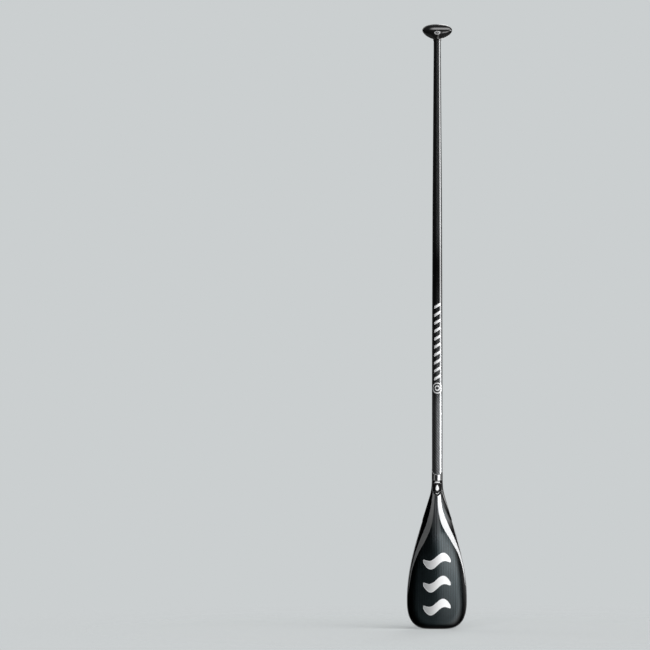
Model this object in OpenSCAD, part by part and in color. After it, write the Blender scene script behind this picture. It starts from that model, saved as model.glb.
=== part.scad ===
// Stand-up paddle: a carbon blade with foam cores and an edge guard, glued to a
// tapered carbon shaft that carries a palm grip.
// +Z runs up the shaft and the power face of the blade looks towards -Y. The
// origin is on the shaft's axis, in the middle of the straight stretch that a
// storage clip holds. Heights are measured up from the blade's tip, as h.

/* [Overall] */
// Length from the blade's tip to the top of the grip
total_l = 1905; // [1850:5:1960]
// Height of the storage clip's centre above the blade's tip
clip_h = 620; // [600:5:640]
// Length of straight shaft that the clip can sit on
clip_l = 160; // [120:10:160]

/* [Blade] */
// Widest part of the blade
blade_w = 189; // [180:1:200]
// Height of the widest part
wide_h = 92; // [84:1:100]
// Height where the edge guard ends, in a small step of the outline
notch_h = 344; // [336:1:352]
// Angle between the blade and the shaft
tilt = 10; // [0:1:12]
// Depth of the power face's rounded ridge
front_rise = 4.5; // [3:0.5:6]
// Crown of the back face
back_rise = 3; // [2:0.5:5]
// Height of the spine on the back face
spine_rise = 7; // [0:0.5:9]
// Thickness of the carbon skins
skin_t = 0.9; // [0.7:0.1:1.1]
// Visible width of the edge guard
guard_w = 2; // [1.6:0.1:3]
// Thickness of the edge guard
guard_t = 4; // [3.4:0.2:5]

/* [Neck] */
// Outer radius of the round neck
neck_r = 17; // [16.95:0.05:17.2]
// Height above which the neck is round
round_h = 474; // [470:1:476]
// Depth of the scallop in the end of the neck
lip_drop = 16.5; // [8:0.5:18]

/* [Shaft] */
// Diameter of the straight lower shaft
shaft_d = 33; // [32.8:0.1:33]
// Diameter at the grip
shaft_top_d = 22.6; // [22:0.2:23]
// Thickness of the shaft's wall
shaft_wall = 1.5; // [1.3:0.1:1.5]

/* [Grip] */
// Width of the grip
grip_w = 93.6; // [84:0.6:102]
// Depth of the grip, front to back
grip_depth = 36; // [32:1:42]
// Thickness of the grip's shells
grip_t = 1.2; // [1:0.1:1.2]

/* [Hidden] */

$fn = 96;
gap = 0.05;                 // space left between pieces that are glued face to face
half_w = blade_w / 2;

// Blade outline
tip_m = 3.7;                // roundness of the tip, across
tip_n = 2.45;               // roundness of the tip, along
corner_h = 18;              // height where the tip's curve turns into the side
fade_h = 100;               // above this the rows of the blade run straight across
step_w = 0.9;               // step of the outline at the end of the guard
step_h = 240;               // the step fades out towards this height
side_end = [24.7, 418];
SIDE = [[half_w, wide_h], [half_w, wide_h + 100], [0.743 * half_w, 268], side_end];
NECK = [side_end, [19.5, 435], [17.3, 448], [neck_r, round_h]];

// Blade sections
flat_h = 300;               // below this the section is fully flattened
full_h = 200;               // below this the faces thin out towards the tip
ridge_k = 0.35;             // rounding of the power face's ridge
edge_fall = 1.5;            // the power face rolls down by this near its edge,
fall_w = 30;                // over this width,
roll_end = [130, 320];      // and stops doing so between these heights
notch_blend = 44;           // the section narrows past the guard's end over this length
spine_w = 17;               // half width of the spine on the back
bend_soft = 60;             // length over which the blade turns away from the shaft
tongue_l = 3;               // how far the guard reaches between the skins
rib_w = 8;                  // half width of the inner spine
rib_low_h = 170;
rib_flare = [402, 440];     // heights between which the inner spine widens into the neck
neck_skin_t = 0.55;

// Neck joint
lip_h = round_h + 31;
seat_h = round_h + 2;       // the shaft stands here, on the spigot's flange
spigot_r = 14.6;
spigot_top_h = 560;

// Shaft
straight_h = 879;
knee_h = 1351;
knee_d = 29.6;
shaft_top_h = total_l - 48;
thin_h = total_l - 83;

// Grip
seam_h = total_l - 20;
grip_low_h = total_l - 52;
collar_r = shaft_top_d / 2 + grip_t + gap;
stem_low_h = total_l - 110;

// Graphics: their lift above the surface, as [bottom, top]
PAINT = [0.04, 0.1];
BADGE = [0.12, 0.2];
PRINT = [0.22, 0.3];

// Edges of the two swooshes, as [height, x]
LEFT_OUTER = [[112, -91], [150, -87.7], [190, -81.4], [240, -69], [285, -52.8],
    [330, -34.9], [375, -22.5], [420, -15.5], [489, -10.8]];
LEFT_INNER = [[112, -90.8], [150, -85.3], [190, -77.6], [240, -59.7], [285, -35.2],
    [330, -17.6], [375, -11.2], [420, -8.6], [489, -7]];
RIGHT_INNER = [[138, 89.6], [190, 81.5], [240, 66], [285, 40.8], [330, 15.5],
    [375, 4.1], [420, 1.4], [489, 1.3]];
RIGHT_OUTER = [[138, 89.8], [190, 84.1], [240, 72.4], [285, 56], [330, 35.5],
    [375, 18], [420, 11], [489, 8]];

// ---- Curves ----

function mix(a, b, t) = a + (b - a) * t;

function ease(a, b, v) = let (t = min(max((v - a) / (b - a), 0), 1)) t * t * (3 - 2 * t);

function bezier(p, t) =
    pow(1 - t, 3) * p[0] + 3 * pow(1 - t, 2) * t * p[1] + 3 * (1 - t) * t * t * p[2] + pow(t, 3) * p[3];

// Slope of a curve through points p, at point i
function slope(p, i) = let (a = p[max(i - 1, 0)], b = p[min(i + 1, len(p) - 1)])
    (b[1] - a[1]) / (b[0] - a[0]);

// Smooth curve through points p, each [height, value]
function through(p, h) = let (
        i = max([for (k = [0:len(p) - 2]) if (k == 0 || p[k][0] <= h) k]),
        d = p[i + 1][0] - p[i][0],
        t = (h - p[i][0]) / d)
    (1 + 2 * t) * pow(1 - t, 2) * p[i][1] + t * t * (3 - 2 * t) * p[i + 1][1]
    + d * t * pow(1 - t, 2) * slope(p, i) - d * t * t * (1 - t) * slope(p, i + 1);

// ---- Blade surface ----

EDGE = [for (p = concat([for (i = [0:24]) bezier(SIDE, i / 24)], [for (i = [1:8]) bezier(NECK, i / 8)]))
    [p[1], p[0]]];

function tip_w(h, inset) =
    (half_w - inset) * pow(1 - pow((wide_h - max(h, inset)) / (wide_h - inset), tip_n), 1 / tip_m);

function tip_h(x, inset) =
    wide_h - (wide_h - inset) * pow(max(1 - pow(abs(x) / (half_w - inset), tip_m), 0), 1 / tip_n);

// Half width of the blade, measured inset from the guard's outer edge
function outline_w(h, inset) = h < wide_h ? tip_w(h, inset)
    : lookup(h, EDGE) - inset - (h < notch_h ? step_w * ease(step_h, notch_h, h) : 0);

// Half width of the skins, which end at the guard below the step
function skin_w(h) = outline_w(h, h < notch_h ? guard_w : 0);

// Half width that the faces' sections are stretched over, without the step at the guard's end
function section_w(h) = h < wide_h ? tip_w(h, guard_w)
    : lookup(h, EDGE) - guard_w * (1 - ease(notch_h - notch_blend, notch_h + notch_blend, h));

// 1 on the flat blade and 0 on the round neck
function flatness(h) = 1 - ease(flat_h, round_h, h);

// 1 where the power face rolls down to its edge
function rolled(h) = 1 - ease(roll_end[0], roll_end[1], h);

function edge_t(h) = guard_t / 2 * (1 - ease(notch_h, round_h, h));

function wall_t(h) = mix(neck_skin_t, skin_t, flatness(h));

function mid_y(h) = let (d = max(round_h - h, 0)) tan(tilt) * d * d / (d + bend_soft);

function spine(x, h) = let (u = min(abs(x) / spine_w, 1))
    spine_rise * ease(rib_low_h, notch_h, h) * flatness(h) * pow(1 - u * u, 2);

// Distance from the edge of the skins, nearly, counted double up from the tip
function edge_distance(x, h) = let (
        across = max(skin_w(h) - abs(x), 0),
        along = 2 * max(h - tip_h(min(abs(x), half_w - guard_w), guard_w), 0))
    across * along / max(norm([across, along]), gap);

function roll(x, h) = edge_fall * rolled(h) * (1 - pow(1 - min(edge_distance(x, h) / fall_w, 1), 2));

function rise(h, side) = let (
        t = min(h / full_h, 1),
        blade = side < 0 ? front_rise - edge_fall * rolled(h) : back_rise)
    mix(blade * (1 - pow(1 - t, 2)), neck_r, ease(side < 0 ? flat_h : flat_h + 40, round_h, h));

// Y of the front (side = -1) or back (side = 1) face, or of a face sunk below it
function face_y(x, h, side, sink) = let (
        s = flatness(h),
        u = min(abs(x) / max(section_w(h) - sink * (1 - s), gap), 1),
        ridge = (sqrt(1 + ridge_k * ridge_k) - sqrt(u * u + ridge_k * ridge_k))
            / (sqrt(1 + ridge_k * ridge_k) - ridge_k),
        section = mix(sqrt(1 - u * u), side < 0 ? ridge : 1 - u * u, s),
        extra = side < 0 ? roll(x, h) : spine(x, h))
    mid_y(h) + side * (edge_t(h) - sink * s + (rise(h, side) - sink * (1 - s)) * section + extra);

// Rows follow the tip's curve at the bottom and the scallop at the top
function tip_share(u, inset) =
    (tip_h(u * tip_w(corner_h, inset), inset) - inset) / (corner_h - inset);

function row_h(h, u, inset) = h < fade_h
    ? h - (corner_h - inset) * (fade_h - h) / (fade_h - corner_h) * (1 - tip_share(u, inset))
    : h - lip_drop * max(h - round_h, 0) / (lip_h - round_h) * sqrt(max(1 - u * u, 0));

function skin_point(h, u, side, sink) = let (
        x = u * (skin_w(h) - sink * (1 - flatness(h))),
        z = row_h(h, u, guard_w),
        flange = sink > 0 && abs(u) == 1 && h >= notch_h)
    [x, flange ? mid_y(z) : face_y(x, z, side, sink), z];

LOW_ROWS = concat([corner_h], [for (h = [26:10:96]) h], [for (h = [112:18:328]) h], [notch_h - 0.2]);
HIGH_ROWS = concat([notch_h], [for (h = [notch_h + 12:12:round_h - 6]) h],
    [for (h = [round_h:(lip_h - round_h) / 4:lip_h]) h]);
COLUMNS = [for (a = [-90:11.25:90]) sin(a)];

function skin_grid(side, inner) = [for (h = concat(LOW_ROWS, HIGH_ROWS))
    [for (u = COLUMNS) skin_point(h, u, side, inner ? wall_t(h) : 0)]];

// Grid between two half widths, sunk below a face; low and high are x at each height
function strip_grid(rows, low, high, side, sink, n) = [for (r = [0:len(rows) - 1])
    [for (i = [0:n]) let (x = mix(low[r], high[r], i / n)) [x, face_y(x, rows[r], side, sink), rows[r]]]];

// ---- Solids from points ----

// Closed solid between a front grid of points and a back grid of the same size
module plate(front, back) {
    rows = len(front);
    cols = len(front[0]);
    n = rows * cols;
    // the border of the grid, anticlockwise as seen from the front
    border = concat([for (i = [0:cols - 2]) i], [for (j = [0:rows - 2]) j * cols + cols - 1],
        [for (i = [cols - 1:-1:1]) (rows - 1) * cols + i], [for (j = [rows - 1:-1:1]) j * cols]);
    polyhedron(
        concat([for (r = front) each r], [for (r = back) each r]),
        concat(
            [for (j = [0:rows - 2], i = [0:cols - 2]) let (a = j * cols + i, b = a + cols)
                each [[a, b + 1, a + 1], [a, b, b + 1],
                    [n + a, n + a + 1, n + b + 1], [n + a, n + b + 1, n + b]]],
            [for (k = [0:len(border) - 1]) let (a = border[k], b = border[(k + 1) % len(border)])
                each [[a, b, n + b], [a, n + b, n + a]]]));
}

// Solid through rings of points; the rings run clockwise as seen along the way they are listed
module loft(rings) {
    n = len(rings[0]);
    last = len(rings) - 1;
    polyhedron(
        [for (r = rings) each r],
        concat(
            [for (j = [0:last - 1], i = [0:n - 1]) let (a = j * n, b = a + n, k = (i + 1) % n)
                each [[a + i, a + k, b + k], [a + i, b + k, b + i]]],
            [[for (i = [0:n - 1]) (n - i) % n], [for (i = [0:n - 1]) last * n + i]]));
}

module from_tip() {
    translate([0, 0, -clip_h]) children();
}

// ---- Graphics ----

// Point of a graphic at [x, h], lifted off the blade, the shaft or the grip
function print_point(p, on, lift) =
    on == "blade" ? [p[0], face_y(p[0], p[1], -1, 0) - lift, p[1]]
    : on == "shaft" ? let (r = shaft_r(p[1]) + lift) [r * sin(p[0]), -r * cos(p[0]), p[1]]
    : [p[0], -grip_y(p[1], 0) * sqrt(1 - pow(p[0] / grip_x(p[1], 0), 2)) - lift, p[1]];

// Thin film over a grid of places, each [x, h] or, on the shaft, [angle, h]
module film(places, on, level) {
    plate([for (r = places) [for (p = r) print_point(p, on, level[1])]],
        [for (r = places) [for (p = r) print_point(p, on, level[0])]]);
}

// Closed band of film between an outer and an inner loop of places, both anticlockwise.
// Its two sheets are split along the same diagonals, so they never cross.
module band(outer, inner, on, level) {
    n = len(outer);
    polyhedron(
        [for (lift = [level[1], level[0]], loop = [outer, inner], p = loop) print_point(p, on, lift)],
        [for (i = [0:n - 1]) let (k = (i + 1) % n) each [
            [i, n + i, n + k], [i, n + k, k],
            [2 * n + i, 3 * n + k, 3 * n + i], [2 * n + i, 2 * n + k, 3 * n + k],
            [i, k, 2 * n + k], [i, 2 * n + k, 2 * n + i],
            [n + i, 3 * n + k, n + k], [n + i, 3 * n + i, 3 * n + k]]]);
}

function oval(rx, rh, h, n) = [for (i = [0:n - 1]) [rx * cos(360 * i / n), h + rh * sin(360 * i / n)]];

// ---- Shaft ----

SHAFT = [[seat_h + gap, shaft_d / 2 - 0.1],
    [clip_h - clip_l / 2, shaft_d / 2], [clip_h + clip_l / 2, shaft_d / 2],
    [straight_h, shaft_d / 2 - gap], [knee_h, knee_d / 2],
    [thin_h, shaft_top_d / 2], [shaft_top_h, shaft_top_d / 2]];

function shaft_r(h) = lookup(h, SHAFT);

// Round plug that fits the bore, with ends at two heights
module bore_plug(low, high) {
    from_tip() rotate_extrude() polygon([[0, low], [shaft_r(low) - shaft_wall - gap, low],
        [shaft_r(high) - shaft_wall - gap, high], [0, high]]);
}

module tube(r_in, r_out, low, high) {
    from_tip() rotate_extrude() polygon([[r_in, low], [r_out, low], [r_out, high], [r_in, high]]);
}

module shaft_tube() {
    color([0.16, 0.17, 0.18])
        from_tip() rotate_extrude() polygon(concat(
            [for (p = SHAFT) [p[1], p[0]]],
            [for (i = [len(SHAFT) - 1:-1:0]) [SHAFT[i][1] - shaft_wall, SHAFT[i][0]]]));
}

module shaft_lower_plug() {
    color([0.85, 0.85, 0.82]) bore_plug(spigot_top_h + 20, spigot_top_h + 60);
}

module shaft_upper_plug() {
    color([0.85, 0.85, 0.82]) bore_plug(stem_low_h - 60, stem_low_h - 20);
}

module neck_spigot() {
    color([0.1, 0.1, 0.11]) {
        tube(spigot_r - 3, spigot_r, seat_h, spigot_top_h);
        tube(spigot_r - 3, neck_r - 0.7, round_h + gap, seat_h);
    }
}

module neck_adhesive() {
    color([0.85, 0.8, 0.6]) tube(spigot_r + 0.01, spigot_r + 0.28, seat_h + 0.3, spigot_top_h - 2);
}

module shaft_dashes() {
    color([0.8, 0.8, 0.82])
        for (k = [0:9]) from_tip()
            film([for (j = [0:1]) [for (a = [-36:12:36]) [a, 790 + 25 * k + 9 * j + a / 6]]],
                "shaft", PAINT);
}

module shaft_ring() {
    color([0.8, 0.8, 0.82]) from_tip() {
        band(oval(58, 17, 761, 32), oval(48, 14, 761, 32), "shaft", PAINT);
        band(oval(30, 8.5, 761, 24), oval(18, 5, 761, 24), "shaft", PAINT);
    }
}

// ---- Blade ----

module power_face_skin() {
    color([0.05, 0.05, 0.06]) from_tip() plate(skin_grid(-1, false), skin_grid(-1, true));
}

module back_face_skin() {
    color([0.07, 0.07, 0.08]) from_tip() plate(skin_grid(1, true), skin_grid(1, false));
}

// Places round the blade where the guard's section is drawn: [point on the skins' edge, outer point]
function side_station(h, s) = [[s * skin_w(h), h], [s * outline_w(h, 0), h]];
function tip_station(u) = [for (inset = [guard_w, 0])
    let (x = u * tip_w(corner_h, inset)) [x, tip_h(x, inset)]];
STATIONS = concat(
    [for (i = [len(LOW_ROWS) - 1:-1:0]) side_station(LOW_ROWS[i], -1)],
    [for (a = [-78.75:11.25:78.75]) tip_station(sin(a))],
    [for (h = LOW_ROWS) side_station(h, 1)]);

// Section of the guard, as [share of the way out, share of half the thickness]
GUARD_SIDE = [[0, 1], [0.6, 0.94], [1, 0.45]];
tongue_t = guard_t / 2 - skin_t - gap;

module edge_guard() {
    half = guard_t / 2;
    section = concat([for (i = [2:-1:0]) [GUARD_SIDE[i][0], -GUARD_SIDE[i][1] * half]],
        [[0, -tongue_t], [-tongue_l / guard_w, -tongue_t], [-tongue_l / guard_w, tongue_t], [0, tongue_t]],
        [for (p = GUARD_SIDE) [p[0], p[1] * half]]);
    color([0.12, 0.12, 0.13]) from_tip()
        loft([for (s = STATIONS) [for (p = section) let (q = mix(s[0], s[1], p[0]))
            [q[0], mid_y(q[1]) + p[1], q[1]]]]);
}

core_inset = guard_w + tongue_l + 0.2;

// Half of the foam core, side = -1 for the left
module foam_core(side) {
    rows = concat([corner_h + 4], [for (h = [30:14:100]) h], [for (h = [118:20:398]) h]);
    function grid(face) = [for (h = rows) let (w = outline_w(h, core_inset), low = rib_w + 0.1)
        [for (i = [0:6]) let (
                share = side < 0 ? 1 - i / 6 : i / 6,
                x = side * mix(low, w, share),
                z = row_h(h, x / w, core_inset))
            [x, face_y(x, z, face, skin_t + gap), z]]];
    color([0.9, 0.88, 0.8]) from_tip() plate(grid(-1), grid(1));
}

module blade_core_left() { foam_core(-1); }

module blade_core_right() { foam_core(1); }

module blade_spine() {
    rows = concat([for (h = [rib_low_h:24:rib_flare[0]]) h],
        [for (h = [rib_flare[0] + 6:8:round_h - 4]) h], [round_h]);
    function half(h) = mix(rib_w, 0.96 * (skin_w(h) - wall_t(h)), ease(rib_flare[0], rib_flare[1], h));
    high = [for (h = rows) half(h)];
    sunk = [for (h = rows) wall_t(h) + gap];
    function grid(side) = [for (r = [0:len(rows) - 1])
        each strip_grid([rows[r]], [-high[r]], [high[r]], side, sunk[r], 10)];
    color([0.8, 0.7, 0.5]) from_tip() plate(grid(-1), grid(1));
}

module swoosh(low, high, rows) {
    from_tip() film([for (h = rows) let (a = through(low, h), b = through(high, h))
        [for (i = [0:4]) [mix(a, b, i / 4), h]]], "blade", PAINT);
}

module swoosh_left() {
    color([0.6, 0.62, 0.64]) swoosh(LEFT_OUTER, LEFT_INNER, [for (h = [114:12.5:489]) h]);
}

module swoosh_right() {
    color([0.9, 0.9, 0.92]) swoosh(RIGHT_INNER, RIGHT_OUTER, [for (h = [139:12.5:489]) h]);
}

// Three stacked waves, each one period of a sine with tapered ends
module blade_waves() {
    reach = 43;
    swing = 13;
    color([0.8, 0.8, 0.82]) from_tip() for (k = [0:2])
        film([for (j = [-1:0.5:1]) [for (i = [-10:10]) let (t = i / 10)
            [reach * t, 70 + 73 * k + swing * sin(180 * t) + j * (1 + 13 * sqrt(1 - t * t))]]],
            "blade", PAINT);
}

// ---- Badge on the neck ----

badge_w = 15.2;             // half width
badge_low_h = 421;
badge_side_h = 442.5;       // the sides are straight above this
badge_top_h = 473.5;
badge_dip = 3;              // the top edge sags by this in the middle

function badge_half(h, inset) =
    let (share = max(badge_side_h - h, 0) / (badge_side_h - badge_low_h - inset))
    (badge_w - inset) * pow(max(1 - pow(share, 2.5), 0), 0.8);

// Top edge at share u of the half width
function badge_top(u, inset) = badge_top_h - inset - badge_dip * (1 - u * u);

module badge_base() {
    rows = [for (t = [0.02, 0.1, 0.2, 0.35, 0.5, 0.7, 0.9, 1]) t];
    places = concat(
        [for (t = rows) let (h = mix(badge_low_h, badge_side_h, t))
            [for (u = COLUMNS) [u * badge_half(h, 0), h]]],
        [for (t = [0.3, 0.6, 1]) [for (u = COLUMNS) [u * badge_w, mix(badge_side_h, badge_top(u, 0), t)]]]);
    color([0.03, 0.03, 0.03]) from_tip() film(places, "blade", BADGE);
}

// The badge's outline, anticlockwise from its point
function badge_loop(inset) = let (
        low = badge_low_h + inset,
        climb = [for (t = [0.06, 0.2, 0.4, 0.7, 1]) let (h = mix(low, badge_side_h, t))
            [badge_half(h, inset), h]])
    concat([[0, low]], climb,
        [for (u = [1:-0.125:-1]) [u * (badge_w - inset), badge_top(u, inset)]],
        [for (i = [len(climb) - 1:-1:0]) [-climb[i][0], climb[i][1]]]);

module badge_border() {
    color([0.8, 0.8, 0.82]) from_tip() {
        band(badge_loop(0), badge_loop(1), "blade", PRINT);
        for (h = [435, 461])
            film([for (z = [h, h + 0.5]) [for (u = COLUMNS) [u * (badge_half(h, 1) - 1), z]]],
                "blade", PRINT);
    }
}

// A drop, with a bar above it and a chevron below
module badge_symbol() {
    color([0.85, 0.85, 0.87]) from_tip() {
        film([for (t = [0.02, 0.12, 0.3, 0.5, 0.7, 0.98])
            [for (u = [-1:0.5:1]) [u * 13 * sqrt(t) * (1 - t) + 0.1 * u, 439 + 19 * t]]], "blade", PRINT);
        film([for (h = [464, 467]) [for (u = [-1:0.25:1]) [8 * u, h]]], "blade", PRINT);
        film([for (d = [0, 1.6]) [for (u = [-1:0.25:1]) [5 * u, 427.5 + d + 3 * abs(u)]]], "blade", PRINT);
    }
}

// ---- Grip ----

grip_up = total_l - seam_h;
grip_down = 29;

// Half width and half depth of the grip at height h, inset by t
function grip_x(h, t) = h >= seam_h
    ? (grip_w / 2 - t) * pow(max(1 - pow((h - seam_h) / (grip_up - t), 2.2), 0), 1 / 2.4)
    : max((grip_w / 2 - t) * pow(max(1 - pow((seam_h - h) / grip_down, 1 / 0.6), 0), 1 / 1.6), collar_r - t);

function grip_y(h, t) = h >= seam_h
    ? (grip_depth / 2 - t) * sqrt(max(1 - pow((h - seam_h) / (grip_up - t), 2), 0))
    : mix(collar_r, grip_depth / 2, ease(seam_h - grip_down, seam_h, h)) - t;

top_flat = 7;               // half length of the seam that closes the grip's top
GRIP_ROWS = concat([grip_low_h], [for (d = [27.5, 26, 24, 21, 17, 12, 7, 3]) seam_h - d]);

// Points of the grip at height h, from angle from_a to to_a
function grip_row(h, t, from_a, to_a, n) = [for (i = [0:n]) let (a = mix(from_a, to_a, i / n))
    [max(grip_x(h, t), top_flat) * cos(a), grip_y(h, t) * sin(a), h]];

// The grip's surface in rows, front (side = -1) or back (side = 1), both with x rising
function grip_grid(side, t) = concat(
    [for (h = GRIP_ROWS) grip_row(h, t, 180, side < 0 ? 360 : 0, 20)],
    [for (a = [0:11.25:90]) grip_row(seam_h + (grip_up - t) * sin(a), t, 180, side < 0 ? 360 : 0, 20)]);

module grip_front_shell() {
    color([0.06, 0.06, 0.07]) from_tip() plate(grip_grid(-1, 0), grip_grid(-1, grip_t));
}

module grip_back_shell() {
    color([0.08, 0.08, 0.09]) from_tip() plate(grip_grid(1, grip_t), grip_grid(1, 0));
}

module grip_core() {
    inner = grip_t + gap;
    color([0.9, 0.88, 0.8]) from_tip() loft(concat(
        [for (d = [24.6, 22, 18, 13, 7, 3]) grip_row(seam_h - d, inner, 0, 348.75, 31)],
        [for (a = [0:15:75]) grip_row(seam_h + (grip_up - inner) * sin(a), inner, 0, 348.75, 31)]));
}

module grip_stem() {
    bore_r = shaft_top_d / 2 - shaft_wall;
    color([0.1, 0.1, 0.11]) {
        tube(bore_r - 2.2, bore_r - 0.2, stem_low_h, shaft_top_h + gap);
        from_tip() translate([0, 0, shaft_top_h + gap]) cylinder(r = shaft_top_d / 2 - 0.1, h = 3);
    }
}

module grip_adhesive() {
    bore_r = shaft_top_d / 2 - shaft_wall;
    color([0.85, 0.8, 0.6]) tube(bore_r - 0.19, bore_r - 0.02, stem_low_h + 2, shaft_top_h - 1);
}

module grip_ring() {
    h = seam_h - 7.7;
    color([0.75, 0.75, 0.76]) from_tip() {
        band(oval(9.8, 5.4, h, 32), oval(5.6, 2.9, h, 32), "grip", PAINT);
        band(oval(2.4, 1.3, h, 20), oval(0.8, 0.5, h, 20), "grip", PAINT);
    }
}

shaft_tube();
shaft_lower_plug();
shaft_upper_plug();
neck_spigot();
neck_adhesive();
blade_spine();
blade_core_left();
blade_core_right();
power_face_skin();
back_face_skin();
edge_guard();
swoosh_left();
swoosh_right();
blade_waves();
badge_base();
badge_border();
badge_symbol();
grip_front_shell();
grip_back_shell();
grip_core();
grip_stem();
grip_adhesive();
grip_ring();
shaft_dashes();
shaft_ring();
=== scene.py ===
"""Looks of the stand-up paddle, built round its CAD model.

Shapes follow the CAD model's own formulas, in millimetres: x to the right, y to the back,
and h up from the blade's tip. The power face of the blade looks towards -y.
"""

import math

import bpy
import numpy as np
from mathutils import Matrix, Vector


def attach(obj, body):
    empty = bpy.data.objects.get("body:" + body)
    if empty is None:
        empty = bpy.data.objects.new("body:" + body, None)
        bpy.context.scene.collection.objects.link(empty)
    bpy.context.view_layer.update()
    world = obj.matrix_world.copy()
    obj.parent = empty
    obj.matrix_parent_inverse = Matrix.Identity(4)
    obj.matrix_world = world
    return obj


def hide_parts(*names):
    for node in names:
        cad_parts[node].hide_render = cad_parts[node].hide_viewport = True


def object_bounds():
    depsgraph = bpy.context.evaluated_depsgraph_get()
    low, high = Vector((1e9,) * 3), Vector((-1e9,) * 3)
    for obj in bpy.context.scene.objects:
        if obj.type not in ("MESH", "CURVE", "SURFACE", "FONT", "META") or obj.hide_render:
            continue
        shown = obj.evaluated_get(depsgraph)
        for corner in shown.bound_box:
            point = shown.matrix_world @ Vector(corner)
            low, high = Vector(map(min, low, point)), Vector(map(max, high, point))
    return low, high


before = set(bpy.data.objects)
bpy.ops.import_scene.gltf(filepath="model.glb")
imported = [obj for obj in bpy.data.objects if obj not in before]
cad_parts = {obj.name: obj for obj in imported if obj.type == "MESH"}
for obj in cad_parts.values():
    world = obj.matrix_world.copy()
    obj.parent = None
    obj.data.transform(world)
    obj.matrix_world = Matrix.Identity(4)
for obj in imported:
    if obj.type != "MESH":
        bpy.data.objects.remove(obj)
cad_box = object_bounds()

MM = 0.001
TIP_Z = cad_box[0].z
TOTAL = (cad_box[1].z - TIP_Z) / MM

# Blade outline
HALF_W = 94.5
WIDE_H = 92.0
NOTCH_H = 344.0             # the edge guard ends here, in a small step of the outline
GUARD_W = 2.0
GUARD_T = 4.0
TIP_M, TIP_N = 3.7, 2.45    # roundness of the tip, across and along
CORNER_H = 18.0
FADE_H = 100.0
STEP_W, STEP_H = 0.9, 240.0
STEP_GAP = 0.2              # the guard stops this far short of the step
SIDE_END = (24.7, 418.0)
NECK_R = 17.0
ROUND_H = 474.0
SIDE = [(HALF_W, WIDE_H), (HALF_W, WIDE_H + 100), (0.743 * HALF_W, 268.0), SIDE_END]
NECK = [SIDE_END, (19.5, 435.0), (17.3, 448.0), (NECK_R, ROUND_H)]

# Blade sections
TILT = math.radians(10)
BEND_SOFT = 60.0
FRONT_RISE, BACK_RISE, SPINE_RISE = 4.5, 3.0, 7.0
WALL = (0.55, 0.9)          # thickness of the skins on the neck and on the blade
EDGE_FALL, FALL_W = 1.5, 30.0   # the power face rolls down by this near its edge, over this width
ROLL_END = (130, 320)       # heights over which that roll fades out
NOTCH_BLEND = 44.0          # the section narrows past the guard's end over this length
FLAT_H, FULL_H = 300.0, 200.0
RIDGE_K = 0.35
SPINE_W = 17.0
SPINE_START = 170           # the spine on the back grows from this height up
BACK_DELAY = 40             # the back face starts to round off into the neck this much above FLAT_H
LIP_H, LIP_DROP = ROUND_H + 31, 16.5

# Shaft, as (h, radius)
SHAFT_WALL = 1.5
SHAFT = [(476.05, 16.4), (540, 16.5), (700, 16.5), (879, 16.45), (1351, 14.8),
         (TOTAL - 83, 11.3), (TOTAL - 48, 11.3)]

# Grip
SEAM_H = TOTAL - 20
GRIP_X, GRIP_Y = 46.8, 18.0
GRIP_UP, GRIP_DOWN, GRIP_LOW = 20.0, 29.0, 32.0
GRIP_TOP_M, GRIP_TOP_N = 2.4, 2.2   # roundness of the grip above its seam
GRIP_M, GRIP_N = 1.6, 0.6           # and below it, where it draws in to the collar
GRIP_T = 1.2
COLLAR_R = 12.55
TOP_FLAT = 7.0

# Edges of the two swooshes, as (h, x)
LEFT_OUTER = [(112, -91), (150, -87.7), (190, -81.4), (240, -69), (285, -52.8),
              (330, -34.9), (375, -22.5), (420, -15.5), (489, -10.8)]
LEFT_INNER = [(112, -90.8), (150, -85.3), (190, -77.6), (240, -59.7), (285, -35.2),
              (330, -17.6), (375, -11.2), (420, -8.6), (489, -7)]
RIGHT_INNER = [(138, 89.6), (190, 81.5), (240, 66), (285, 40.8), (330, 15.5),
               (375, 4.1), (420, 1.4), (489, 1.3)]
RIGHT_OUTER = [(138, 89.8), (190, 84.1), (240, 72.4), (285, 56), (330, 35.5),
               (375, 18), (420, 11), (489, 8)]

# Lift of the graphics above the surface, as (bottom, top)
PAINT = (0.04, 0.1)
BADGE = (0.12, 0.2)
PRINT = (0.22, 0.3)


# ---- Curves ----

def mix(a, b, t):
    return a + (b - a) * t


def ease(a, b, v):
    t = np.clip((v - a) / (b - a), 0, 1)
    return t * t * (3 - 2 * t)


def bezier(p, n):
    t = np.linspace(0, 1, n)[:, None]
    p = np.array(p, float)
    return (1 - t) ** 3 * p[0] + 3 * (1 - t) ** 2 * t * p[1] + 3 * (1 - t) * t * t * p[2] + t ** 3 * p[3]


def through(points, h):
    """Smooth curve through points, each (h, value)."""
    p = np.array(points, float)
    ends = np.arange(len(p))
    low, high = np.maximum(ends - 1, 0), np.minimum(ends + 1, len(p) - 1)
    slope = (p[high, 1] - p[low, 1]) / (p[high, 0] - p[low, 0])
    i = np.clip(np.searchsorted(p[:, 0], h, side="right") - 1, 0, len(p) - 2)
    d = p[i + 1, 0] - p[i, 0]
    t = (h - p[i, 0]) / d
    return ((1 + 2 * t) * (1 - t) ** 2 * p[i, 1] + t * t * (3 - 2 * t) * p[i + 1, 1]
            + d * t * (1 - t) ** 2 * slope[i] - d * t * t * (1 - t) * slope[i + 1])


# ---- Blade surface ----

EDGE = np.vstack([bezier(SIDE, 200), bezier(NECK, 60)[1:]])


def tip_w(h, inset):
    share = np.clip((WIDE_H - np.maximum(h, inset)) / (WIDE_H - inset), 0, 1)
    return (HALF_W - inset) * (1 - share ** TIP_N) ** (1 / TIP_M)


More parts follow.
